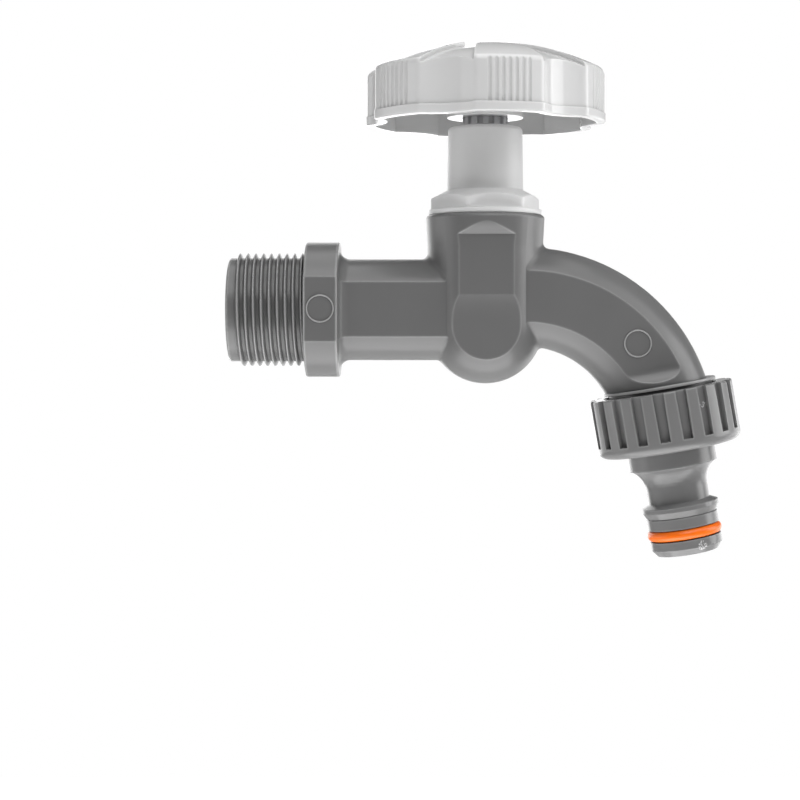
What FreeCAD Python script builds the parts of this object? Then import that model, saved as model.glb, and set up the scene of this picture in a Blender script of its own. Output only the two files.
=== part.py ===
import FreeCAD, Part
import math
import os

Vector = FreeCAD.Vector

# Sizes in millimetres and degrees. The origin is on the inlet axis at the collar's shoulder,
# +X runs to the spout and +Z runs up along the valve axis.

# Fits
seat_gap = 0.02
ring_gap = 0.03
screw_clearance = 0.1
spline_clearance = 0.05
turn_clearance = 0.1
travel_gap = 0.3

# Inlet thread, at its root, and its bore
inlet_root_radius = 12.06
inlet_length = 17.8
inlet_chamfer = 0.3
inlet_bore_radius = 8.0

# Collar with two spanner flats
collar_radius = 15.7
collar_width = 7.75
collar_across_flats = 27.8
collar_fillet = 2.4
edge_round = 0.35

# Barrel with two flats
barrel_radius = 11.8
bar_across_flats = 20.0

# Plain ring marks on the front flats
mark_radius = 3.2
mark_width = 0.35
mark_height = 0.18
collar_mark_z = 0.1
spout_mark_angle = 48.9
spout_mark_offset = 0.69

# Valve chamber
valve_x = 41.65
chamber_radius = 13.5
chamber_top_radius = 13.85
chamber_round_z = -3.7
chamber_flare_z = 14.5
body_top = 22.0
rim_round = 0.9
join_round = 1.3

# Grip panels on the front and back of the chamber
panel_width = 19.0
panel_upper_half = 11.95
panel_lower_half = 11.02
panel_ramp_z = 17.1
panel_ramp_run = 1.8
panel_ramp_rise = 2.8
panel_ramp_bow = 0.2
panel_step_z = 3.3
panel_step_drop = 5.8
panel_step_bow = 0.23

# Curved spout
spout_arc_x = 9.2
spout_arc_drop = 30.0
spout_arc_radius = 33.0
spout_radius = 11.6
spout_bore_radius = 7.6
spout_bore_start = 7.0
flat_end_height = 5.0
flat_ramp_length = 3.3
flat_ramp_bow = 0.42

# Outlet, tilted forward
outlet_arc_angle = 69.4
outlet_offset = 0.72
outlet_tilt = 9.8
outlet_flange_radius = 13.1
outlet_flange_height = 0.65
outlet_flange_round = 0.2
outlet_root_radius = 12.06
outlet_thread_length = 10.0
outlet_bore_radius = 8.5

# Waterway through the seat
partition_top = -0.8
partition_thickness = 2.2
lower_chamber_radius = 8.5
seat_bore_radius = 5.5
seat_ring_radius = 7.3
seat_top = 2.0
port_radius = 5.2
port_height = 5.7
wall_before_chamber = 4.8

# Valve washer, its screw and the jumper
washer_radius = 7.0
washer_thickness = 3.0
washer_screw_radius = 1.6
washer_screw_head_radius = 3.2
washer_screw_head_height = 1.6
washer_screw_depth = 4.5
jumper_plate_thickness = 2.5
jumper_skirt_wall = 1.1
jumper_skirt_depth = 1.4
jumper_stem_radius = 2.5
jumper_stem_length = 8.0

# Bonnet
bonnet_spigot_radius = 10.1
bonnet_flange_radius = 13.15
bonnet_flange_height = 1.2
hex_across_flats = 22.6
hex_turn = 10.5
hex_height = 4.6
hex_corner_round = 1.2
hex_chamfer_angle = 27.7
sleeve_base_radius = 8.87
sleeve_top_radius = 8.67
sleeve_height = 14.7
sleeve_round = 0.9
stop_above_hex = 1.5
bonnet_seal_section = 0.9
bonnet_seal_depth = 1.6

# Spindle
lift = 5.25
spindle_thread_radius = 6.4
spindle_radius = 5.25
spindle_ring_section = 0.9
spindle_ring_first = 1.7
spindle_ring_spacing = 3.2
spline_teeth = 12
spline_root_radius = 4.5
tooth_width = 1.4
spline_above_sleeve = 0.5
spindle_hole_depth = 9.5

# Handwheel
wheel_gap = 2.2
hub_rise = 1.5
hub_radius = 8.9
socket_depth = 8.5
web_thickness = 2.6
wheel_radius = 28.0
wheel_band_height = 2.1
wheel_band_step = 0.25
wheel_rim_round = 0.4
wheel_height = 18.8
dome_radius = 61.0
shoulder_round = 1.5
lobe_count = 6
lobe_turn = 9.8
lobe_round = 2.0
pad_height = 1.0
pad_inner_radius = 10.0
valley_angle = 31.0
valley_apex = 3.9
scallop_radius = 11.07
scallop_depth = 2.8
wheel_wall = 2.0
flutes_per_lobe = 7
flute_pitch = 3.1
flute_radius = 0.5
flute_depth = 0.28
flute_top = 12.9

# Handwheel screw and its cap
wheel_screw_radius = 2.0
wheel_screw_head_radius = 3.8
wheel_screw_head_height = 2.4
wheel_screw_length = 9.0
screw_recess_radius = 4.6
cap_radius = 8.0
cap_seat_depth = 3.1
cap_plug_depth = 0.4

# Hose connector
nut_gap = 0.6
nut_radius = 16.7
nut_height = 13.8
nut_lower_round = 2.0
nut_upper_round = 0.4
nut_bore_radius = 13.3
nut_groove_count = 20
nut_groove_top_width = 2.5
nut_groove_bottom_width = 2.2
nut_groove_floor_radius = 15.4
nut_band_height = 2.7
nipple_collar_radius = 10.2
nipple_collar_end = 17.8
nipple_lip = 0.25
neck_radius = 7.1
neck_start = 22.7
neck_end = 26.1
latch_radius = 8.9
latch_top = 26.9
latch_band = 1.0
latch_slope = 1.6
shank_radius = 8.25
shank_step = 0.2
nose_radius = 8.3
nose_tip_radius = 7.1
nose_round = 1.5
nipple_length = 38.2
nipple_bore_radius = 4.7
nipple_ring_section = 1.25
nipple_ring_radius = 8.7
nipple_ring_centre = 33.4
gasket_thickness = 1.6
gasket_radius = 13.0
gasket_bore_radius = 8.5

# Heights that follow from the sizes above
lower_chamber_top = partition_top - partition_thickness
chamber_bore_radius = bonnet_spigot_radius + screw_clearance
washer_bottom = seat_top + seat_gap
plate_bottom = washer_bottom + washer_thickness + seat_gap
plate_top = plate_bottom + jumper_plate_thickness
spindle_bottom = plate_top + turn_clearance
flange_bottom = body_top + seat_gap
hex_bottom = flange_bottom + bonnet_flange_height
hex_top = hex_bottom + hex_height
sleeve_top = hex_top + sleeve_height
stop_z = hex_top + stop_above_hex
spindle_thread_top = stop_z - lift - travel_gap
spigot_bottom = plate_top + lift + travel_gap
hub_bottom = sleeve_top + wheel_gap
wheel_bottom = hub_bottom - hub_rise
socket_top = hub_bottom + socket_depth
spindle_top = socket_top - turn_clearance
web_top = socket_top + web_thickness
dome_apex = wheel_bottom + wheel_height
cap_seat = dome_apex - cap_seat_depth
spline_bottom = sleeve_top + spline_above_sleeve
valve_base = Vector(valve_x, 0, 0)
spout_centre = Vector(valve_x + spout_arc_x, 0, -spout_arc_drop)
outlet_angle = math.radians(outlet_arc_angle)
outlet_reach = spout_arc_radius + outlet_offset
outlet_point = spout_centre + Vector(math.sin(outlet_angle), 0, math.cos(outlet_angle)) * outlet_reach
outlet_place = FreeCAD.Placement(outlet_point, FreeCAD.Rotation(Vector(0, 1, 0), -outlet_tilt))
gasket_top = -outlet_thread_length - seat_gap
nut_floor = gasket_top - gasket_thickness - seat_gap
nut_top = -nut_gap


# Solid of revolution about Z from (radius, height) corners
def turned(points):
    corners = [Vector(r, 0, z) for r, z in points]
    face = Part.Face(Part.makePolygon(corners + corners[:1]))
    return face.revolve(Vector(0, 0, 0), Vector(0, 0, 1), 360)


def post(radius, bottom, top):
    return Part.makeCylinder(radius, top - bottom, Vector(0, 0, bottom))


def sleeve(outer, inner, bottom, top):
    return post(outer, bottom, top).cut(post(inner, bottom - 1, top + 1))


def circle_edges(solid):
    drawn = [edge for edge in solid.Edges if not edge.Degenerated]
    return [edge for edge in drawn if edge.Curve.TypeId == "Part::GeomCircle"]


# Round the circular edges that lie at the given (radius, height) pairs
def rounded_rims(solid, size, rims):
    edges = []
    for radius, height in rims:
        for edge in circle_edges(solid):
            same_radius = abs(edge.Curve.Radius - radius) < 1e-3
            if same_radius and abs(edge.Curve.Center.z - height) < 1e-3:
                edges.append(edge)
    return solid.makeFillet(size, edges)


def about_axis(solid, angle):
    turned_copy = solid.copy()
    turned_copy.rotate(Vector(0, 0, 0), Vector(0, 0, 1), angle)
    return turned_copy


def mirrored(solid):
    return solid.mirror(Vector(0, 0, 0), Vector(0, 1, 0))


def placed(solid, placement):
    copy = solid.copy()
    copy.Placement = placement.multiply(copy.Placement)
    return copy


def at_valve(solid):
    return placed(solid, FreeCAD.Placement(valve_base, FreeCAD.Rotation()))


def middle(edge):
    return edge.valueAt((edge.FirstParameter + edge.LastParameter) / 2)


def single(shape):
    return shape.removeSplitter().Solids[0]


def upright_edges(solid):
    straight = [edge for edge in solid.Edges if edge.Curve.TypeId == "Part::GeomLine"]
    return [edge for edge in straight if abs(edge.tangentAt(edge.FirstParameter).z) > 0.99]


# Arc across the YZ plane that bows off its chord
def bowed(start, end, bow):
    along = (end - start).normalize()
    across = Vector(1, 0, 0).cross(along)
    return Part.Arc(start, (start + end) * 0.5 + across * bow, end).toShape()


# Fuse a limb to a solid and round the corner where their surfaces meet
def joined(base, limb, size):
    fused = base.fuse(limb)
    corner = []
    for edge in fused.Edges:
        if not edge.Degenerated:
            spot = Part.Vertex(middle(edge))
            on_base = base.Shells[0].distToShape(spot)[0] < 1e-3
            if on_base and limb.Shells[0].distToShape(spot)[0] < 1e-3:
                corner.append(edge)
    return fused.makeFillet(size, corner).Solids[0]


def ring_mark(x, face_y, z):
    base = Vector(x, face_y + mark_height, z)
    outer = Part.makeCylinder(mark_radius, 2 * mark_height, base, Vector(0, -1, 0))
    return outer.cut(Part.makeCylinder(mark_radius - mark_width, 2 * mark_height, base, Vector(0, -1, 0)))


def spline(outer_radius, root_radius, width, bottom, top):
    height = top - bottom
    bars = []
    for index in range(spline_teeth // 2):
        box = Part.makeBox(4 * outer_radius, width, height, Vector(-2 * outer_radius, -width / 2, bottom))
        bars.append(about_axis(box, index * 360 / spline_teeth))
    return post(root_radius, bottom, top).fuse(bars).common(post(outer_radius, bottom, top))


# Inlet, collar and barrel
inlet = Part.makeCylinder(inlet_root_radius, inlet_length + 1, Vector(-inlet_length, 0, 0), Vector(1, 0, 0))
inlet_end = [edge for edge in inlet.Edges if abs(edge.BoundBox.XMax + inlet_length) < 1e-4]
inlet = inlet.makeChamfer(inlet_chamfer, inlet_end)

along_inlet = FreeCAD.Placement(Vector(0, 0, 0), FreeCAD.Rotation(Vector(0, 1, 0), 90))
collar = post(collar_radius, 0, collar_width)
collar = rounded_rims(collar, edge_round, [(collar_radius, 0), (collar_radius, collar_width)])
collar_slab = Part.makeBox(2 * collar_width, collar_across_flats, 4 * collar_radius)
collar_slab.translate(Vector(-1, -collar_across_flats / 2, -2 * collar_radius))
collar = placed(collar, along_inlet).common(collar_slab)

flat_half = bar_across_flats / 2
arc_middle = math.cos(math.radians(45))
root_radius = barrel_radius + collar_fillet
root_end = collar_width + collar_fillet
root_curve = Part.Arc(
    Vector(root_radius, 0, collar_width),
    Vector(root_radius - collar_fillet * arc_middle, 0, root_end - collar_fillet * arc_middle),
    Vector(barrel_radius, 0, root_end),
)
barrel_line = [
    Part.makeLine(Vector(0, 0, collar_width / 2), Vector(barrel_radius, 0, collar_width / 2)),
    Part.makeLine(Vector(barrel_radius, 0, collar_width / 2), Vector(barrel_radius, 0, collar_width)),
    Part.makeLine(Vector(barrel_radius, 0, collar_width), Vector(root_radius, 0, collar_width)),
    root_curve.toShape(),
    Part.makeLine(Vector(barrel_radius, 0, root_end), Vector(barrel_radius, 0, valve_x)),
    Part.makeLine(Vector(barrel_radius, 0, valve_x), Vector(0, 0, valve_x)),
    Part.makeLine(Vector(0, 0, valve_x), Vector(0, 0, collar_width / 2)),
]
barrel = Part.Face(Part.Wire(barrel_line)).revolve(Vector(0, 0, 0), Vector(0, 0, 1), 360)
barrel = placed(barrel, along_inlet)
side = -2 * collar_radius
flat_curve = Part.Arc(
    Vector(collar_width, -flat_half - collar_fillet, side),
    Vector(root_end - collar_fillet * arc_middle, -flat_half - collar_fillet * (1 - arc_middle), side),
    Vector(root_end, -flat_half, side),
)
flat_line = [
    flat_curve.toShape(),
    Part.makeLine(Vector(root_end, -flat_half, side), Vector(valve_x, -flat_half, side)),
    Part.makeLine(Vector(valve_x, -flat_half, side), Vector(valve_x, side, side)),
    Part.makeLine(Vector(valve_x, side, side), Vector(collar_width, side, side)),
    Part.makeLine(Vector(collar_width, side, side), Vector(collar_width, -flat_half - collar_fillet, side)),
]
barrel_flat = Part.Face(Part.Wire(flat_line)).extrude(Vector(0, 0, -2 * side))

# Valve chamber
chamber_bottom = chamber_round_z - chamber_radius
rim_inner = chamber_top_radius - rim_round
bowl = Part.Arc(
    Vector(0, 0, chamber_bottom),
    Vector(chamber_radius * arc_middle, 0, chamber_round_z - chamber_radius * arc_middle),
    Vector(chamber_radius, 0, chamber_round_z),
)
rim = Part.Arc(
    Vector(chamber_top_radius, 0, body_top - rim_round),
    Vector(rim_inner + rim_round * arc_middle, 0, body_top - rim_round * (1 - arc_middle)),
    Vector(rim_inner, 0, body_top),
)
chamber_line = [
    bowl.toShape(),
    Part.makeLine(Vector(chamber_radius, 0, chamber_round_z), Vector(chamber_radius, 0, chamber_flare_z)),
    Part.makeLine(
        Vector(chamber_radius, 0, chamber_flare_z), Vector(chamber_top_radius, 0, body_top - rim_round)
    ),
    rim.toShape(),
    Part.makeLine(Vector(rim_inner, 0, body_top), Vector(0, 0, body_top)),
    Part.makeLine(Vector(0, 0, body_top), Vector(0, 0, chamber_bottom)),
]
chamber = at_valve(Part.Face(Part.Wire(chamber_line)).revolve(Vector(0, 0, 0), Vector(0, 0, 1), 360))

# Grip panels, sunk into the front and back of the chamber
beyond = 2 * chamber_top_radius
far_below = 2 * chamber_bottom
ramp_foot = Vector(0, -panel_upper_half, panel_ramp_z)
ramp_head = ramp_foot + Vector(0, -panel_ramp_run, panel_ramp_rise)
panel_high = Vector(0, -beyond, ramp_head.z + 2 * (beyond + ramp_head.y))
step_head = Vector(0, -panel_upper_half, panel_step_z)
step_foot = Vector(0, -panel_lower_half, panel_step_z - panel_step_drop)
panel_low = Vector(0, -panel_lower_half, far_below)
panel_line = [
    Part.makeLine(panel_high, ramp_head),
    bowed(ramp_head, ramp_foot, -panel_ramp_bow),
    Part.makeLine(ramp_foot, step_head),
    bowed(step_head, step_foot, panel_step_bow),
    Part.makeLine(step_foot, panel_low),
    Part.makeLine(panel_low, Vector(0, -beyond, far_below)),
    Part.makeLine(Vector(0, -beyond, far_below), panel_high),
]
panel = Part.Face(Part.Wire(panel_line)).extrude(Vector(panel_width, 0, 0))
panel.translate(Vector(valve_x - panel_width / 2, 0, 0))

# Curved spout with flats that run out before the outlet
spout_start = spout_centre + Vector(0, 0, spout_arc_radius)
spout_section = Part.Face(Part.Wire(Part.makeCircle(spout_radius, spout_start, Vector(1, 0, 0))))
spout = spout_section.revolve(spout_centre, Vector(0, 1, 0), 90)
neck_start_point = spout_start - Vector(spout_arc_x, 0, 0)
spout_neck = Part.makeCylinder(spout_radius, spout_arc_x, neck_start_point, Vector(1, 0, 0))
past_outlet = Part.makeBox(100, 100, 60, Vector(-50, -50, outlet_flange_height / 2 - 60))
spout = spout.fuse(spout_neck).cut(placed(past_outlet, outlet_place))
spout = single(spout)

flat_reach = 3 * flat_half
flat_high = 3 * spout_arc_radius
flat_foot = Vector(0, -flat_half, flat_end_height)
flat_run_out = Vector(0, -spout_radius, flat_end_height - flat_ramp_length)
flat_low = Vector(0, -flat_reach, flat_run_out.z - flat_reach + spout_radius)
flat_line = [
    Part.makeLine(Vector(0, -flat_half, flat_high), flat_foot),
    bowed(flat_foot, flat_run_out, flat_ramp_bow),
    Part.makeLine(flat_run_out, flat_low),
    Part.makeLine(flat_low, Vector(0, -flat_reach, flat_high)),
    Part.makeLine(Vector(0, -flat_reach, flat_high), Vector(0, -flat_half, flat_high)),
]
spout_flat = Part.Face(Part.Wire(flat_line)).extrude(Vector(4 * spout_arc_radius, 0, 0))
spout_flat.translate(Vector(-2 * spout_arc_radius, 0, 0))
past_valve = Part.makeBox(200, 200, 200, Vector(valve_x, -100, -100))
spout_flat = placed(spout_flat, outlet_place).common(past_valve)

outlet_flange = post(outlet_flange_radius, 0, outlet_flange_height)
flange_edge = (outlet_flange_radius, outlet_flange_height)
outlet_flange = rounded_rims(outlet_flange, outlet_flange_round, [flange_edge])
outlet_boss = post(outlet_root_radius, -outlet_thread_length, outlet_flange_height)
outlet_end = placed(outlet_flange.fuse(outlet_boss), outlet_place)

# Waterway: inlet bore, low passage, seat, upper chamber, port and spout bore
passage_end = valve_x - chamber_bore_radius - wall_before_chamber
inlet_bore = Part.makeCylinder(
    inlet_bore_radius, inlet_length + passage_end + 1, Vector(-inlet_length - 1, 0, 0), Vector(1, 0, 0)
)
passage_start = Vector(passage_end, 0, 0)
low_passage = Part.makeCylinder(inlet_bore_radius, valve_x - passage_end, passage_start, Vector(1, 0, 0))
lower_chamber = Part.makeSphere(lower_chamber_radius, Vector(valve_x, 0, chamber_round_z))
below_partition = Part.makeBox(100, 100, 50, Vector(-20, -50, lower_chamber_top - 50))
low_water = low_passage.fuse(lower_chamber).common(below_partition)
upper_chamber = at_valve(post(chamber_bore_radius, partition_top, body_top + 1))
seat_bore = at_valve(post(seat_bore_radius, lower_chamber_top - 1, seat_top + 1))
seat_ring = at_valve(sleeve(seat_ring_radius, seat_bore_radius, partition_top - 0.5, seat_top))
bore_section = Part.Face(Part.Wire(Part.makeCircle(spout_bore_radius, spout_start, Vector(1, 0, 0))))
bore_section.rotate(spout_centre, Vector(0, 1, 0), spout_bore_start)
spout_bore = bore_section.revolve(spout_centre, Vector(0, 1, 0), outlet_arc_angle - spout_bore_start)
port_z = partition_top + port_height
port_start = Vector(valve_x + chamber_bore_radius - 2.5, 0, port_z)
port_length = chamber_radius - chamber_bore_radius + 4.0
port = Part.makeCylinder(port_radius, port_length, port_start, Vector(1, 0, 0))
outlet_bore = placed(post(outlet_bore_radius, -outlet_thread_length - 1, outlet_flange_height), outlet_place)

collar_mark = ring_mark(collar_width / 2, -collar_across_flats / 2, collar_mark_z)
mark_angle = math.radians(spout_mark_angle)
mark_reach = spout_arc_radius + spout_mark_offset
mark_at = spout_centre + Vector(math.sin(mark_angle), 0, math.cos(mark_angle)) * mark_reach
spout_mark = ring_mark(mark_at.x, -flat_half, mark_at.z)

tap_body = joined(joined(chamber, barrel, join_round), spout, join_round)
for tool in (barrel_flat.cut(chamber), spout_flat.cut(chamber), panel):
    tap_body = tap_body.cut(tool)
    tap_body = tap_body.cut(mirrored(tool))
for solid in (outlet_end, collar, inlet):
    tap_body = tap_body.fuse(solid)
for void in (inlet_bore, low_water, upper_chamber, seat_bore, spout_bore, port, outlet_bore):
    tap_body = tap_body.cut(void)
for solid in (seat_ring, collar_mark, spout_mark):
    tap_body = tap_body.fuse(solid)
tap_body = tap_body.Solids[0]

# Bonnet
bonnet_flange = post(bonnet_flange_radius, flange_bottom, hex_bottom)
hex_radius = hex_across_flats / math.sqrt(3)
hex_corners = []
for index in range(6):
    angle = math.radians(60 * index + hex_turn)
    hex_corners.append(Vector(hex_radius * math.cos(angle), hex_radius * math.sin(angle), hex_bottom))
hexagon = Part.Face(Part.makePolygon(hex_corners + hex_corners[:1])).extrude(Vector(0, 0, hex_height))
hexagon = hexagon.makeFillet(hex_corner_round, upright_edges(hexagon))
hex_reach = hex_radius + 1
hex_fall = (hex_reach - sleeve_base_radius) * math.tan(math.radians(hex_chamfer_angle))
hex_cone = turned([
    (0, hex_bottom),
    (hex_reach, hex_bottom),
    (hex_reach, hex_top - hex_fall),
    (sleeve_base_radius, hex_top),
    (0, hex_top),
])
hexagon = hexagon.common(hex_cone)
tall_sleeve = Part.makeCone(sleeve_base_radius, sleeve_top_radius, sleeve_height, Vector(0, 0, hex_top))
tall_sleeve = rounded_rims(tall_sleeve, sleeve_round, [(sleeve_top_radius, sleeve_top)])
spigot = post(bonnet_spigot_radius, spigot_bottom, hex_bottom)
thread_bore_radius = spindle_thread_radius + screw_clearance
sleeve_bore_radius = spindle_radius + turn_clearance
thread_bore = post(thread_bore_radius, spigot_bottom - 1, stop_z)
sleeve_bore = post(sleeve_bore_radius, stop_z - 1, sleeve_top + 1)
seal_radius = chamber_bore_radius - ring_gap - bonnet_seal_section
seal_z = body_top - bonnet_seal_depth
seal_half = bonnet_seal_section + 2 * ring_gap
seal_root = seal_radius - bonnet_seal_section - ring_gap
seal_groove = sleeve(bonnet_spigot_radius + 1, seal_root, seal_z - seal_half, seal_z + seal_half)
bonnet = bonnet_flange.fuse([hexagon, tall_sleeve, spigot])
bonnet = at_valve(single(bonnet.cut([thread_bore, sleeve_bore, seal_groove])))
bonnet_seal = at_valve(Part.makeTorus(seal_radius, bonnet_seal_section, Vector(0, 0, seal_z)))

# Jumper, washer and washer screw
skirt_inner = washer_radius + screw_clearance
skirt_outer = skirt_inner + jumper_skirt_wall
stem_top = plate_top + jumper_stem_length
jumper = post(skirt_outer, plate_bottom, plate_top)
jumper = jumper.fuse([
    sleeve(skirt_outer, skirt_inner, plate_bottom - jumper_skirt_depth, plate_bottom),
    post(jumper_stem_radius, plate_bottom, stem_top),
])
screw_hole_radius = washer_screw_radius + screw_clearance / 2
screw_tip = plate_bottom + washer_screw_depth
jumper = at_valve(single(jumper.cut(post(screw_hole_radius, plate_bottom - 1, screw_tip + 0.5))))
valve_washer = sleeve(washer_radius, screw_hole_radius, washer_bottom, washer_bottom + washer_thickness)
valve_washer = at_valve(single(valve_washer))
screw_head_top = washer_bottom - seat_gap
washer_screw = post(washer_screw_head_radius, screw_head_top - washer_screw_head_height, screw_head_top)
washer_screw = washer_screw.fuse(post(washer_screw_radius, screw_head_top - 0.5, screw_tip))
washer_screw = at_valve(single(washer_screw))

# Spindle and its rings
ring_radius = sleeve_bore_radius - ring_gap - spindle_ring_section
ring_root = ring_radius - spindle_ring_section - ring_gap
ring_half = spindle_ring_section + 2 * ring_gap
lower_ring_z = stop_z + spindle_ring_first
upper_ring_z = lower_ring_z + spindle_ring_spacing
spindle = post(spindle_thread_radius, spindle_bottom, spindle_thread_top)
spindle = spindle.fuse([
    post(spindle_radius, spindle_bottom, spline_bottom),
    spline(spindle_radius, spline_root_radius, tooth_width, spline_bottom - 0.5, spindle_top),
])
spindle = spindle.cut([
    post(jumper_stem_radius + turn_clearance, spindle_bottom - 1, stem_top + travel_gap),
    post(wheel_screw_radius + screw_clearance / 2, spindle_top - spindle_hole_depth, spindle_top + 1),
    sleeve(spindle_radius + 1, ring_root, lower_ring_z - ring_half, lower_ring_z + ring_half),
    sleeve(spindle_radius + 1, ring_root, upper_ring_z - ring_half, upper_ring_z + ring_half),
])
spindle = at_valve(single(spindle))
spindle_o_ring_lower = Part.makeTorus(ring_radius, spindle_ring_section, Vector(0, 0, lower_ring_z))
spindle_o_ring_lower = at_valve(spindle_o_ring_lower)
spindle_o_ring_upper = Part.makeTorus(ring_radius, spindle_ring_section, Vector(0, 0, upper_ring_z))
spindle_o_ring_upper = at_valve(spindle_o_ring_upper)

# Handwheel: domed drum, six lobes with raised pads, hollow below
lobe_step = 360 / lobe_count
lobes = [lobe_turn - 90 + index * lobe_step for index in range(lobe_count)]
valleys = [lobe + lobe_step / 2 for lobe in lobes]
scallop_centre = wheel_radius - scallop_depth + scallop_radius
scallop_at = Vector(scallop_centre, 0, wheel_bottom - 1)


def lobed(radius, scallop_size, top):
    scallop = Part.makeCylinder(scallop_size, 2 * wheel_height, scallop_at)
    disc = post(radius, wheel_bottom, top).cut([about_axis(scallop, valley) for valley in valleys])
    return disc.makeFillet(lobe_round, upright_edges(disc))


band_top = wheel_bottom + wheel_band_height
wall_radius = wheel_radius - wheel_band_step
band = lobed(wheel_radius, scallop_radius, band_top)
rim_edges = [edge for edge in band.Edges if abs(middle(edge).z - wheel_bottom) < 1e-3]
band = band.makeFillet(wheel_rim_round, rim_edges)
dome = Part.makeSphere(dome_radius, Vector(0, 0, dome_apex - dome_radius))
wall = lobed(wall_radius, scallop_radius + wheel_band_step, dome_apex + 1).common(dome)
shoulder = []
for edge in wall.Edges:
    if not edge.Degenerated and edge.Curve.TypeId != "Part::GeomLine":
        spot = middle(edge)
        if spot.z > band_top and math.hypot(spot.x, spot.y) > wheel_radius - 2 * scallop_depth:
            shoulder.append(edge)
wall = wall.makeFillet(shoulder_round, shoulder)
above_band = post(2 * wheel_radius, band_top - wheel_band_step, dome_apex + 1)
drum = band.fuse(wall.common(above_band))

low_dome = Part.makeSphere(dome_radius, Vector(0, 0, dome_apex - pad_height - dome_radius))
wedge_start = Vector(valley_apex, 0, wheel_bottom)
wedge = Part.makeCylinder(2 * wheel_radius, 2 * wheel_height, wedge_start, Vector(0, 0, 1), valley_angle)
wedge.rotate(wedge_start, Vector(0, 0, 1), -valley_angle / 2)
wedge = wedge.cut(low_dome)
scallop_wall = Part.makeCylinder(scallop_radius + wheel_wall, 2 * wheel_height, scallop_at)
flute_at = wall_radius + flute_radius - flute_depth
flute = Part.makeCylinder(flute_radius, flute_top - wheel_band_height, Vector(flute_at, 0, band_top))
hollow_dome = Part.makeSphere(dome_radius, Vector(0, 0, dome_apex - pad_height - wheel_wall - dome_radius))
hollow = post(wheel_radius - wheel_wall, wheel_bottom - 1, dome_apex).common(hollow_dome)
recesses = [post(pad_inner_radius, wheel_bottom, dome_apex + 1).cut(low_dome)]
recesses += [about_axis(wedge, valley) for valley in valleys]
walls = [post(hub_radius, wheel_bottom - 2, dome_apex)]
walls += [about_axis(scallop_wall, valley) for valley in valleys]
flutes = []
for lobe in lobes:
    for step in range(flutes_per_lobe):
        flutes.append(about_axis(flute, lobe + (step - (flutes_per_lobe - 1) / 2) * flute_pitch))
hollow = hollow.cut(walls)
socket = spline(
    spindle_radius + spline_clearance,
    spline_root_radius + spline_clearance,
    tooth_width + 2 * spline_clearance,
    hub_bottom - 1,
    socket_top,
)
handwheel = drum.cut(recesses)
handwheel = handwheel.cut([hollow, post(hub_radius, wheel_bottom - 1, hub_bottom), socket])
handwheel = handwheel.cut([
    post(wheel_screw_radius + screw_clearance / 2, hub_bottom, dome_apex),
    post(screw_recess_radius, web_top, dome_apex),
    post(cap_radius + spline_clearance, cap_seat, dome_apex + 1),
])
handwheel = at_valve(single(handwheel.cut(flutes)))

# Handwheel screw and cap
wheel_screw = post(wheel_screw_head_radius, web_top + seat_gap, web_top + wheel_screw_head_height)
wheel_screw = rounded_rims(wheel_screw, 0.8, [(wheel_screw_head_radius, web_top + wheel_screw_head_height)])
wheel_shank = post(wheel_screw_radius, web_top - wheel_screw_length, web_top + 0.5)
handwheel_screw = at_valve(single(wheel_screw.fuse(wheel_shank)))
cap = post(cap_radius, cap_seat + seat_gap, dome_apex).common(low_dome)
cap_plug = post(screw_recess_radius - spline_clearance, cap_seat - cap_plug_depth, cap_seat + 1)
handwheel_cap = at_valve(single(cap.fuse(cap_plug)))

# Hose connector, drawn downward from the top of its nut
latch_end = latch_top + latch_band + latch_slope
groove_half = nipple_ring_section + 3 * ring_gap
neck_curve = nipple_collar_radius - nipple_lip - neck_radius
neck_depth = neck_start - nipple_collar_end
neck_arc_radius = (neck_curve ** 2 + neck_depth ** 2) / (2 * neck_curve)
neck_sweep = math.asin(neck_depth / neck_arc_radius)
neck_points = []
for step in range(9):
    angle = neck_sweep * (1 - step / 8)
    rim_out = neck_arc_radius * (1 - math.cos(angle))
    neck_points.append((neck_radius + rim_out, nut_top - neck_start + neck_arc_radius * math.sin(angle)))
nipple_ring_mid = nipple_ring_radius - nipple_ring_section
nipple_groove_root = nipple_ring_mid - nipple_ring_section - ring_gap
connector_line = [
    (nipple_bore_radius, nut_top),
    (nut_radius, nut_top),
    (nut_radius, nut_top - nut_height),
    (nipple_collar_radius, nut_top - nut_height),
    (nipple_collar_radius, nut_top - nipple_collar_end),
]
connector_line += neck_points
connector_line += [
    (neck_radius, nut_top - neck_end),
    (latch_radius, nut_top - latch_top),
    (latch_radius, nut_top - latch_top - latch_band),
    (shank_radius - shank_step, nut_top - latch_end),
    (shank_radius, nut_top - latch_end),
    (shank_radius, nut_top - nipple_ring_centre + groove_half),
    (nipple_groove_root, nut_top - nipple_ring_centre + groove_half),
    (nipple_groove_root, nut_top - nipple_ring_centre - groove_half),
    (nose_radius, nut_top - nipple_ring_centre - groove_half),
    (nose_radius, nut_top - nipple_length + nose_round),
    (nose_tip_radius, nut_top - nipple_length),
    (nipple_bore_radius, nut_top - nipple_length),
]
connector = turned(connector_line)
connector = rounded_rims(connector, nut_lower_round, [(nut_radius, nut_top - nut_height)])
connector = rounded_rims(connector, nut_upper_round, [(nut_radius, nut_top)])
connector = connector.cut(post(nut_bore_radius, nut_floor, nut_top + 1))
groove_bottom = nut_top - nut_height + nut_band_height
groove_corners = [
    Vector(nut_groove_floor_radius, -nut_groove_top_width / 2, nut_top + 1),
    Vector(nut_groove_floor_radius, nut_groove_top_width / 2, nut_top + 1),
    Vector(nut_groove_floor_radius, nut_groove_bottom_width / 2, groove_bottom),
    Vector(nut_groove_floor_radius, -nut_groove_bottom_width / 2, groove_bottom),
]
groove = Part.Face(Part.makePolygon(groove_corners + groove_corners[:1])).extrude(Vector(nut_radius, 0, 0))
groove_step = 360 / nut_groove_count
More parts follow.
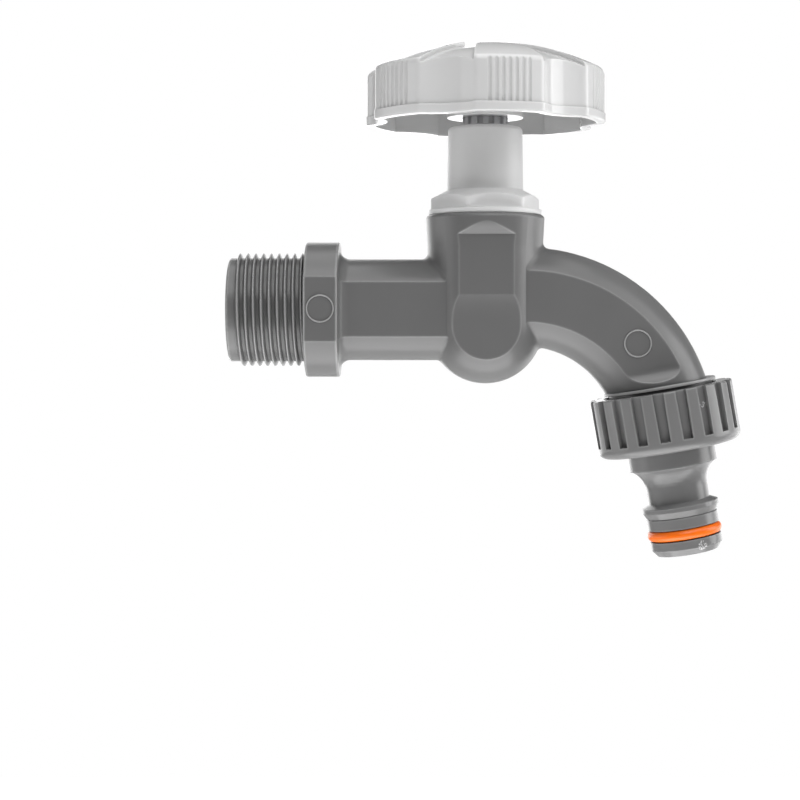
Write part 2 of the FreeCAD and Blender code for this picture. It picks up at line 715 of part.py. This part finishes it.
grooves = [about_axis(groove, (index + 0.5) * groove_step - 90) for index in range(nut_groove_count)]
hose_connector = placed(single(connector.cut(grooves)), outlet_place)
gasket = sleeve(gasket_radius, gasket_bore_radius, gasket_top - gasket_thickness, gasket_top)
connector_gasket = placed(single(gasket), outlet_place)
nipple_ring_at = Vector(0, 0, nut_top - nipple_ring_centre)
connector_o_ring = placed(Part.makeTorus(nipple_ring_mid, nipple_ring_section, nipple_ring_at), outlet_place)

nodes = {
    "tap_body": tap_body,
    "bonnet": bonnet,
    "bonnet_seal": bonnet_seal,
    "spindle": spindle,
    "spindle_o_ring_lower": spindle_o_ring_lower,
    "spindle_o_ring_upper": spindle_o_ring_upper,
    "jumper": jumper,
    "valve_washer": valve_washer,
    "washer_screw": washer_screw,
    "handwheel": handwheel,
    "handwheel_screw": handwheel_screw,
    "handwheel_cap": handwheel_cap,
    "hose_connector": hose_connector,
    "connector_gasket": connector_gasket,
    "connector_o_ring": connector_o_ring,
}
os.makedirs("parts", exist_ok=True)
for name, solid in nodes.items():
    solid.exportStep(os.path.join("parts", name + ".step"))
    print(name, solid.isValid(), round(solid.Volume, 1))
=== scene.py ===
import math

import bpy
from mathutils import Matrix, Vector


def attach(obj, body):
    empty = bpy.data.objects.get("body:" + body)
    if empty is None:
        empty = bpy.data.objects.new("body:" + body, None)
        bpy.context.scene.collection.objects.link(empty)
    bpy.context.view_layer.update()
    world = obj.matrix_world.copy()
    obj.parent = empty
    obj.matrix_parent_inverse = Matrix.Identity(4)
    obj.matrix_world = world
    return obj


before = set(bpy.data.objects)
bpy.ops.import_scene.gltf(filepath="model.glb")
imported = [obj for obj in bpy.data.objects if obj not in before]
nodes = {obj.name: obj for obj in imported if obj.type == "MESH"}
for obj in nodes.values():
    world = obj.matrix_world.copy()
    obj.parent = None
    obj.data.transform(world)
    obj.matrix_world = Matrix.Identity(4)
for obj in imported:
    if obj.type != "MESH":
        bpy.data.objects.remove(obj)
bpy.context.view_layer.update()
mm = 0.001
white = (1, 1, 1, 1)
mixFirst, mixSecond, mixResult = 6, 7, 2  # the colour sockets of a Mix node
print("frame loaded:", len(nodes), "nodes")


def deselectAll():
    bpy.ops.object.select_all(action="DESELECT")


def hexColour(text):  # from sRGB to linear
    values = [int(text[i:i + 2], 16) / 255 for i in (1, 3, 5)]
    return [v / 12.92 if v <= 0.04045 else ((v + 0.055) / 1.055) ** 2.4 for v in values] + [1.0]


def emptyTree(owner):  # bare node tree of a world or a material
    owner.use_nodes = True
    owner.node_tree.nodes.clear()
    return owner.node_tree


def addNode(tree, kind, inputs=None, links=None, **settings):
    node = tree.nodes.new(kind)
    for name, value in settings.items():
        setattr(node, name, value)
    for name, value in (inputs or {}).items():
        node.inputs[name].default_value = value
    for name, socket in (links or {}).items():
        tree.links.new(socket, node.inputs[name])
    return node


# camera on the level of the photograph, square to the front of the tap
cameraSetup = {
    "distance": 430.0,               # mm from the lens to the middle plane of the tap
    "pixelsPerMm": 4.28,             # scale on that plane
    "axisPixel": (436.0, 335.0),     # where the lens axis meets the picture
    "anchorPixel": (485.2, 309.75),  # picture place of the valve axis at the inlet's height
    "anchorX": 41.65,                # mm along X of that anchor
    "pictureWidth": 800,
    "sensorWidth": 36.0,             # mm
    "clip": (0.01, 20.0),            # m
}


def makeCamera(setup):
    axisX, axisY = setup["axisPixel"]
    anchorX, anchorY = setup["anchorPixel"]
    scale = setup["pixelsPerMm"]
    width = setup["pictureWidth"]
    middleX = setup["anchorX"] + (axisX - anchorX) / scale
    middleZ = (anchorY - axisY) / scale
    deselectAll()
    bpy.ops.object.camera_add(
        location=(middleX * mm, -setup["distance"] * mm, middleZ * mm), rotation=(math.pi / 2, 0, 0)
    )
    camera = bpy.context.object
    camera.name = "photoCamera"
    lens = camera.data
    lens.sensor_fit = "HORIZONTAL"
    lens.sensor_width = setup["sensorWidth"]
    lens.lens = setup["distance"] * scale / width * lens.sensor_width
    lens.shift_x = (width / 2 - axisX) / width
    lens.shift_y = (axisY - width / 2) / width
    lens.clip_start, lens.clip_end = setup["clip"]
    bpy.context.scene.camera = camera


makeCamera(cameraSetup)
print("camera set")


# white room in metres: the tap hangs high above a pale paper floor, because its inlet holds it
studioSetup = {
    "floorDrop": 0.35,
    "floorSize": 2.0,
    "paleFloor": "#f4f4f4",
    "floorGlow": 0.92,         # lifts the paper to white for the eye, and leaves the soft shadow on it
    "worldStrength": 0.15,     # soft light from all round
    "wallFade": (0.0, 0.25),   # Z of a mirror ray over which the white wall gives way to the ceiling
    "ceiling": 0.12,           # how bright the ceiling is in mirror images
    "frontRoom": 0.2,          # how bright the room behind the camera is in them
    "frontFade": (-0.6, 0.2),  # Y of a mirror ray over which that room gives way to white
    "lamps": {
        "lampBelow": {"at": (0.04, -0.05, -0.33), "size": 0.6, "watts": 2.3},
        "lampAbove": {"at": (0.04, 0.00, 0.60), "size": 0.6, "watts": 1.6},
        "lampAboveFront": {"at": (0.08, -0.40, 0.45), "size": 0.5, "watts": 2.0},
        "lampFrontRight": {"at": (0.50, -0.18, 0.42), "size": 0.5, "watts": 1.05},
        "lampRight": {"at": (0.62, 0.00, 0.12), "size": 0.4, "watts": 1.25},
        "lampRightBack": {"at": (0.50, 0.40, -0.22), "size": 0.6, "watts": 0.95},
        "lampLeft": {"at": (-0.55, 0.00, 0.05), "size": 0.5, "watts": 0.63},
        "lampBack": {"at": (-0.15, 0.60, 0.08), "size": 0.6, "watts": 1.4},  # also fills the wheel's hollow
    },
    "aim": (0.04, 0.0, 0.0),
}


def addEyeRays(tree):  # picks out the rays that reach the eye, straight or through glass
    path = addNode(tree, "ShaderNodeLightPath")
    eye = addNode(tree, "ShaderNodeMath", operation="MAXIMUM",
                  links={0: path.outputs["Is Camera Ray"], 1: path.outputs["Is Transmission Ray"]})
    return path, eye


def makeStudio(setup):
    scene = bpy.context.scene
    scene.view_settings.view_transform = "Standard"
    scene.world = bpy.data.worlds.new("whiteRoom")
    tree = emptyTree(scene.world)
    path, eye = addEyeRays(tree)
    seen = addNode(tree, "ShaderNodeMath", operation="MAXIMUM",
                   links={0: eye.outputs[0], 1: path.outputs["Is Glossy Ray"]})
    place = addNode(tree, "ShaderNodeTexCoord")
    direction = addNode(tree, "ShaderNodeSeparateXYZ", links={"Vector": place.outputs["Generated"]})
    wallFoot, wallTop = setup["wallFade"]
    wall = addNode(tree, "ShaderNodeMapRange", interpolation_type="SMOOTHSTEP",
                   inputs={"From Min": wallFoot, "From Max": wallTop,
                           "To Min": 1.0, "To Max": setup["ceiling"]},
                   links={"Value": direction.outputs["Z"]})  # the white wall ends under a dim ceiling
    dimEnd, whiteStart = setup["frontFade"]
    room = addNode(tree, "ShaderNodeMapRange", interpolation_type="SMOOTHSTEP",
                   inputs={"From Min": dimEnd, "From Max": whiteStart,
                           "To Min": setup["frontRoom"], "To Max": 1.0},
                   links={"Value": direction.outputs["Y"]})  # dim on the camera's side
    mirrored = addNode(tree, "ShaderNodeMath", operation="MULTIPLY",
                       links={0: wall.outputs["Result"], 1: room.outputs["Result"]})
    shown = addNode(tree, "ShaderNodeMath", operation="MAXIMUM",
                    links={0: mirrored.outputs[0], 1: eye.outputs[0]})
    soft = addNode(tree, "ShaderNodeBackground", inputs={"Color": white, "Strength": setup["worldStrength"]})
    plain = addNode(tree, "ShaderNodeBackground", inputs={"Color": white},
                    links={"Strength": shown.outputs[0]})
    mix = addNode(tree, "ShaderNodeMixShader",
                  links={0: seen.outputs[0], 1: soft.outputs[0], 2: plain.outputs[0]})
    addNode(tree, "ShaderNodeOutputWorld", links={"Surface": mix.outputs[0]})

    deselectAll()
    bpy.ops.mesh.primitive_plane_add(size=setup["floorSize"], location=(0, 0, -setup["floorDrop"]))
    floor = bpy.context.object
    floor.name = "floor"
    material = bpy.data.materials.new("matteWhitePaper")  # matte paper sweep, reads as plain white
    tree = emptyTree(material)
    _, eye = addEyeRays(tree)
    glow = addNode(tree, "ShaderNodeMath", operation="MULTIPLY", inputs={1: setup["floorGlow"]},
                   links={0: eye.outputs[0]})
    paper = addNode(tree, "ShaderNodeBsdfDiffuse", inputs={"Color": hexColour(setup["paleFloor"])})
    bright = addNode(tree, "ShaderNodeEmission", inputs={"Color": white},
                     links={"Strength": glow.outputs[0]})
    both = addNode(tree, "ShaderNodeAddShader", links={0: paper.outputs[0], 1: bright.outputs[0]})
    addNode(tree, "ShaderNodeOutputMaterial", links={"Surface": both.outputs[0]})
    floor.data.materials.append(material)

    for name, lamp in setup["lamps"].items():
        deselectAll()
        bpy.ops.object.light_add(type="AREA", location=lamp["at"])
        light = bpy.context.object
        light.name = name
        light.data.shape = "DISK"
        light.data.size = lamp["size"]
        light.data.energy = lamp["watts"]
        aim = Vector(setup["aim"]) - Vector(lamp["at"])
        light.rotation_euler = aim.to_track_quat("-Z", "Y").to_euler()
        light.visible_camera = False


makeStudio(studioSetup)
print("studio set")


# screw threads that stand on the plain cylinders of the inlet and the outlet, in mm
threadSetup = {
    "rootRadius": 12.06,      # the cylinder under the ridge
    "crestRadius": 13.16,
    "footWidth": 1.24,
    "crestWidth": 0.26,
    "crestRound": 0.11,
    "roundSegments": 2,
    "sink": 0.1,              # how deep the foot stands in the cylinder
    "pitch": 1.814,
    "stepsPerTurn": 72,
    "fade": 0.2,              # turns over which an end rises out of the cylinder
    "endHeight": 0.05,        # share of the ridge's height that is left at its very end
    "smoothAngle": 40,        # degrees
    "runs": {
        "inletThread": {
            "start": (-15.46, 0.0, 0.0),    # on the axis, level with the first crest on that side
            "along": (1.0, 0.0, 0.0),
            "side": (0.0, 0.0, 1.0),
            "before": 0.3,                  # turns ahead of that crest
            "turns": 8.85,
        },
        "outletThread": {
            "start": (83.95, 0.0, -27.0),
            "along": (-0.1702095, 0.0, 0.9854079),
            "side": (0.9854079, 0.0, 0.1702095),
            "before": 0.3,
            "turns": 4.6,
        },
    },
}


def makeThread(name, run, setup):
    foot = setup["rootRadius"] - setup["sink"]
    turns = run["turns"]
    deselectAll()
    bpy.ops.mesh.primitive_plane_add(size=1.0)
    thread = bpy.context.object
    thread.name = name
    for corner in thread.data.vertices:  # the plane becomes the ridge's section, out along X and up along Z
        onCrest = corner.co.x > 0
        radius = setup["crestRadius"] if onCrest else foot
        width = setup["crestWidth"] if onCrest else setup["footWidth"]
        corner.co = (radius * mm, 0.0, math.copysign(width / 2, corner.co.y) * mm)
        corner.select = onCrest
    bpy.ops.object.mode_set(mode="EDIT")
    bpy.ops.mesh.select_mode(type="VERT")
    bpy.ops.mesh.bevel(offset=setup["crestRound"] * mm, segments=setup["roundSegments"], affect="VERTICES")
    bpy.ops.mesh.select_all(action="SELECT")
    bpy.ops.mesh.delete(type="ONLY_FACE")
    bpy.ops.object.mode_set(mode="OBJECT")
    sectionSize = len(thread.data.vertices)
    helix = thread.modifiers.new("helix", "SCREW")
    helix.axis = "Z"
    helix.angle = 2 * math.pi * turns
    helix.screw_offset = setup["pitch"] * turns * mm
    helix.steps = helix.render_steps = round(setup["stepsPerTurn"] * turns)
    bpy.ops.object.modifier_apply(modifier=helix.name)
    lastSection = len(thread.data.vertices) // sectionSize - 1
    for index, point in enumerate(thread.data.vertices):  # both ends sink into the cylinder
        turn = index // sectionSize / lastSection * turns
        rise = min(1.0, turn / setup["fade"], (turns - turn) / setup["fade"])
        share = setup["endHeight"] + (1 - setup["endHeight"]) * math.sin(rise * math.pi / 2)
        radius = math.hypot(point.co.x, point.co.y)
        lowered = foot * mm + (radius - foot * mm) * share
        point.co.x *= lowered / radius
        point.co.y *= lowered / radius
    bpy.ops.object.mode_set(mode="EDIT")
    bpy.ops.mesh.select_all(action="SELECT")
    bpy.ops.mesh.fill_holes(sides=0)
    bpy.ops.mesh.select_all(action="SELECT")
    bpy.ops.mesh.normals_make_consistent(inside=False)
    bpy.ops.object.mode_set(mode="OBJECT")
    along, side = Vector(run["along"]), Vector(run["side"])
    place = Matrix((side, along.cross(side), along)).transposed().to_4x4()
    place.translation = Vector(run["start"]) * mm
    back = Matrix.Translation((0, 0, -setup["pitch"] * run["before"] * mm))
    thread.matrix_world = place @ back @ Matrix.Rotation(-2 * math.pi * run["before"], 4, "Z")
    bpy.ops.object.transform_apply(location=True, rotation=True, scale=True)
    bpy.ops.object.shade_smooth_by_angle(angle=math.radians(setup["smoothAngle"]))
    return thread


threads = [makeThread(name, run, threadSetup) for name, run in threadSetup["runs"].items()]
print("threads cut:", [len(thread.data.polygons) for thread in threads])


# moulded plastics and rubbers: sizes in mm, colours as the eye sees them
# edge colour and edge light give a painted highlight along the sharp edges; hollow shade gives painted shade
# in grooves and creases
finishSetup = {
    # dyed polypropylene from a smooth mould: satin, a clear gleam only at low angles, with painted highlights
    # along its sharp edges and painted shade in its creases
    "greyPolypropylene": {
        "colour": "#6c6c6c", "shade": "#676767", "edgeHighlightColour": "#b1b1b1", "edgeHighlight": 0.65,
        "rough": 0.3, "grain": 0.35, "bump": 0.04, "edge": 0.3, "hollowShade": 0.75,
    },
    # the body's resin on the cut-sharp screw threads, a little paler, with painted highlights along the crests
    # and painted shade in the roots
    "threadPolypropylene": {
        "colour": "#747474", "shade": "#707070", "edgeHighlightColour": "#c0c0c0", "edgeHighlight": 0.5,
        "rough": 0.3, "grain": 0.35, "bump": 0.02, "edge": 0.14, "hollowShade": 0.6,
    },
    # the same resin in a paler dye, handled more, with two small scuffs: the middle and reach of each
    "connectorPolypropylene": {
        "colour": "#787878", "shade": "#727272", "edgeHighlightColour": "#a8a8a8", "edgeHighlight": 0.2,
        "rough": 0.22, "grain": 0.4, "bump": 0.012, "edge": 0.25, "hollowShade": 0.35,
        "scuffColour": "#e2e2e2",
        "scuffs": [((90.6, -13.7, -21.6), 1.5), ((91.4, -7.8, -54.3), 2.4)],
    },
    # machined acetal: waxy off-white, which looks grey in the shade under the wheel
    "spindleAcetal": {
        "colour": "#e0e0e2", "shade": "#d6d6d8", "edgeHighlightColour": "#e8e8ea", "edgeHighlight": 0.4,
        "rough": 0.35, "grain": 0.4, "bump": 0.04, "edge": 0.12, "hollowShade": 0.0,
    },
    # white polypropylene from a polished mould: soft white, a broad gleam on faces seen at a low angle
    "whitePolypropylene": {
        "colour": "#d4d4d4", "shade": "#d0d0d0", "edgeHighlightColour": "#e6e6e6", "edgeHighlight": 0.25,
        "rough": 0.1, "grain": 0.5, "bump": 0.008, "edge": 0.35, "hollowShade": 0.3,
    },
    # the same white resin with a satin skin
    "satinPolypropylene": {
        "colour": "#e3e3e3", "shade": "#dfdfdf", "edgeHighlightColour": "#eeeeee", "edgeHighlight": 0.35,
        "rough": 0.4, "grain": 0.5, "bump": 0.03, "edge": 0.5, "hollowShade": 0.0,
    },
    # moulded nitrile rubber: near black and matte
    "blackNitrile": {
        "colour": "#161616", "shade": "#101010", "edgeHighlightColour": "#242424", "edgeHighlight": 0.3,
        "rough": 0.6, "grain": 0.3, "bump": 0.05, "edge": 0.1, "hollowShade": 0.0,
    },
    # dyed silicone rubber: strong orange with a wet-looking soft gleam
    "orangeSilicone": {
        "colour": "#ff760c", "shade": "#ff7008", "edgeHighlightColour": "#ff841c", "edgeHighlight": 0.3,
        "rough": 0.32, "grain": 0.4, "bump": 0.02, "edge": 0.1, "hollowShade": 0.0,
    },
}

# what all of those share
mouldSetup = {
    "ior": 1.49,                 # of polypropylene
    "flowMarks": 9.0,            # mm, slow clouds in the dye
    "flowDetail": 3.0,
    "grainDetail": 2.0,
    "grainDepth": 0.05,          # mm
    "grainGloss": 0.15,          # share by which the grain varies the roughness
    "edgeReach": 2.0,            # edge widths over which the painted highlight on an outer edge reaches
    "edgeRange": (0.985, 0.8),   # share of rays that stay inside the piece, where the painted edge highlight starts and where it is full
    "hollowReach": 1.2,          # mm
    "hollowRange": (0.35, 0.9),  # share of open air over a point, where the painted shade is full and where it ends
    "aroundSamples": 8,
    "bevelSamples": 6,
    "scuffCore": 0.4,            # share of a scuff's reach that is scraped the most
    "scuffNear": 0.6,            # what nearness adds to the grain
    "scuffRange": (1.06, 1.18),  # that sum, at the start of the scrape and in full
    "scuffLight": 0.65,
}


def makePlastic(name, setup, mould):
    material = bpy.data.materials.new(name)
    tree = emptyTree(material)
    place = addNode(tree, "ShaderNodeTexCoord")
    cloud = addNode(tree, "ShaderNodeTexNoise", links={"Vector": place.outputs["Object"]},
                    inputs={"Scale": 1 / (mould["flowMarks"] * mm), "Detail": mould["flowDetail"]})
    tint = addNode(tree, "ShaderNodeMix", data_type="RGBA", links={"Factor": cloud.outputs["Fac"]},
                   inputs={mixFirst: hexColour(setup["shade"]), mixSecond: hexColour(setup["colour"])})
    corner = addNode(tree, "ShaderNodeAmbientOcclusion", inside=True, only_local=True,
                     samples=mould["aroundSamples"],
                     inputs={"Distance": mould["edgeReach"] * setup["edge"] * mm})  # finds the outer edges, for the painted highlight along them
    paleStart, paleFull = mould["edgeRange"]
    # painted highlight: the outer edges turn paler, as if they caught the light
    paintedEdgeHighlight = addNode(tree, "ShaderNodeMapRange", links={"Value": corner.outputs["AO"]},
                   inputs={"From Min": paleStart, "From Max": paleFull,
                           "To Min": 0.0, "To Max": setup["edgeHighlight"]})
    colour = addNode(tree, "ShaderNodeMix", data_type="RGBA",
                     inputs={mixSecond: hexColour(setup["edgeHighlightColour"])},
                     links={"Factor": paintedEdgeHighlight.outputs["Result"], mixFirst: tint.outputs[mixResult]})
    grain = addNode(tree, "ShaderNodeTexNoise", links={"Vector": place.outputs["Object"]},
                    inputs={"Scale": 1 / (setup["grain"] * mm), "Detail": mould["grainDetail"]})  # mould grain
    for spot, size in setup.get("scuffs", []):  # ragged pale scrapes where the piece was knocked
        reach = addNode(tree, "ShaderNodeVectorMath", operation="DISTANCE",
                        inputs={1: [value * mm for value in spot]}, links={0: place.outputs["Object"]})
        near = addNode(tree, "ShaderNodeMapRange", links={"Value": reach.outputs["Value"]},
                       inputs={"From Min": mould["scuffCore"] * size * mm, "From Max": size * mm,
                               "To Min": mould["scuffNear"], "To Max": 0.0})
        ragged = addNode(tree, "ShaderNodeMath", operation="ADD",
                         links={0: near.outputs["Result"], 1: grain.outputs["Fac"]})
        scrapeStart, scrapeFull = mould["scuffRange"]
        scrape = addNode(tree, "ShaderNodeMapRange", links={"Value": ragged.outputs[0]},
                         inputs={"From Min": scrapeStart, "From Max": scrapeFull,
                                 "To Min": 0.0, "To Max": mould["scuffLight"]})
        colour = addNode(tree, "ShaderNodeMix", data_type="RGBA",
                         inputs={mixSecond: hexColour(setup["scuffColour"])},
                         links={"Factor": scrape.outputs["Result"], mixFirst: colour.outputs[mixResult]})
    hollow = addNode(tree, "ShaderNodeAmbientOcclusion", samples=mould["aroundSamples"],
                     inputs={"Distance": mould["hollowReach"] * mm})
    shadeFull, shadeEnd = mould["hollowRange"]
    paintedShade = addNode(tree, "ShaderNodeMapRange", links={"Value": hollow.outputs["AO"]},
                    inputs={"From Min": shadeFull, "From Max": shadeEnd,
                            "To Min": 1 - setup["hollowShade"], "To Max": 1.0})
    colour = addNode(tree, "ShaderNodeMix", data_type="RGBA", blend_type="MULTIPLY", inputs={"Factor": 1.0},
                     links={mixFirst: colour.outputs[mixResult],
                            mixSecond: paintedShade.outputs["Result"]})  # painted shade: darker down in grooves and creases
    rough = addNode(tree, "ShaderNodeMapRange", links={"Value": grain.outputs["Fac"]},
                    inputs={"To Min": (1 - mould["grainGloss"]) * setup["rough"],
                            "To Max": (1 + mould["grainGloss"]) * setup["rough"]})
    edge = addNode(tree, "ShaderNodeBevel", inputs={"Radius": setup["edge"] * mm},
                   samples=mould["bevelSamples"])
    bump = addNode(tree, "ShaderNodeBump",
                   inputs={"Strength": setup["bump"], "Distance": mould["grainDepth"] * mm},
                   links={"Height": grain.outputs["Fac"], "Normal": edge.outputs["Normal"]})
    shader = addNode(tree, "ShaderNodeBsdfPrincipled", inputs={"IOR": mould["ior"]},
                     links={"Base Color": colour.outputs[mixResult], "Roughness": rough.outputs["Result"],
                            "Normal": bump.outputs["Normal"]})
    addNode(tree, "ShaderNodeOutputMaterial", links={"Surface": shader.outputs[0]})
    return material


# zinc plated steel of the screws: dull grey metal
steelSetup = {"colour": "#b4b5b8", "grain": 0.4, "rough": (0.3, 0.45)}


def makeSteel(setup):
    material = bpy.data.materials.new("zincPlatedSteel")
    tree = emptyTree(material)
    place = addNode(tree, "ShaderNodeTexCoord")
    grain = addNode(tree, "ShaderNodeTexNoise", inputs={"Scale": 1 / (setup["grain"] * mm)},
                    links={"Vector": place.outputs["Object"]})
    smoothest, roughest = setup["rough"]
    rough = addNode(tree, "ShaderNodeMapRange", inputs={"To Min": smoothest, "To Max": roughest},
                    links={"Value": grain.outputs["Fac"]})
    shader = addNode(tree, "ShaderNodeBsdfPrincipled",
                     inputs={"Base Color": hexColour(setup["colour"]), "Metallic": 1.0},
                     links={"Roughness": rough.outputs["Result"]})
    addNode(tree, "ShaderNodeOutputMaterial", links={"Surface": shader.outputs[0]})
    return material


finishes = {name: makePlastic(name, setup, mouldSetup) for name, setup in finishSetup.items()}
finishes["zincPlatedSteel"] = makeSteel(steelSetup)
finishOf = {
    "tap_body": "greyPolypropylene",
    "bonnet": "satinPolypropylene",
    "bonnet_seal": "blackNitrile",
    "spindle": "spindleAcetal",
    "spindle_o_ring_lower": "blackNitrile",
    "spindle_o_ring_upper": "blackNitrile",
    "jumper": "satinPolypropylene",
    "valve_washer": "blackNitrile",
    "washer_screw": "zincPlatedSteel",
    "handwheel": "whitePolypropylene",
    "handwheel_screw": "zincPlatedSteel",
    "handwheel_cap": "whitePolypropylene",
    "hose_connector": "connectorPolypropylene",
    "connector_gasket": "blackNitrile",
    "connector_o_ring": "orangeSilicone",
}
for nodeName, finish in finishOf.items():
    nodes[nodeName].data.materials.clear()
    nodes[nodeName].data.materials.append(finishes[finish])
for thread in threads:
    thread.data.materials.append(finishes["threadPolypropylene"])
    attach(thread, "tap")
print("finishes set")
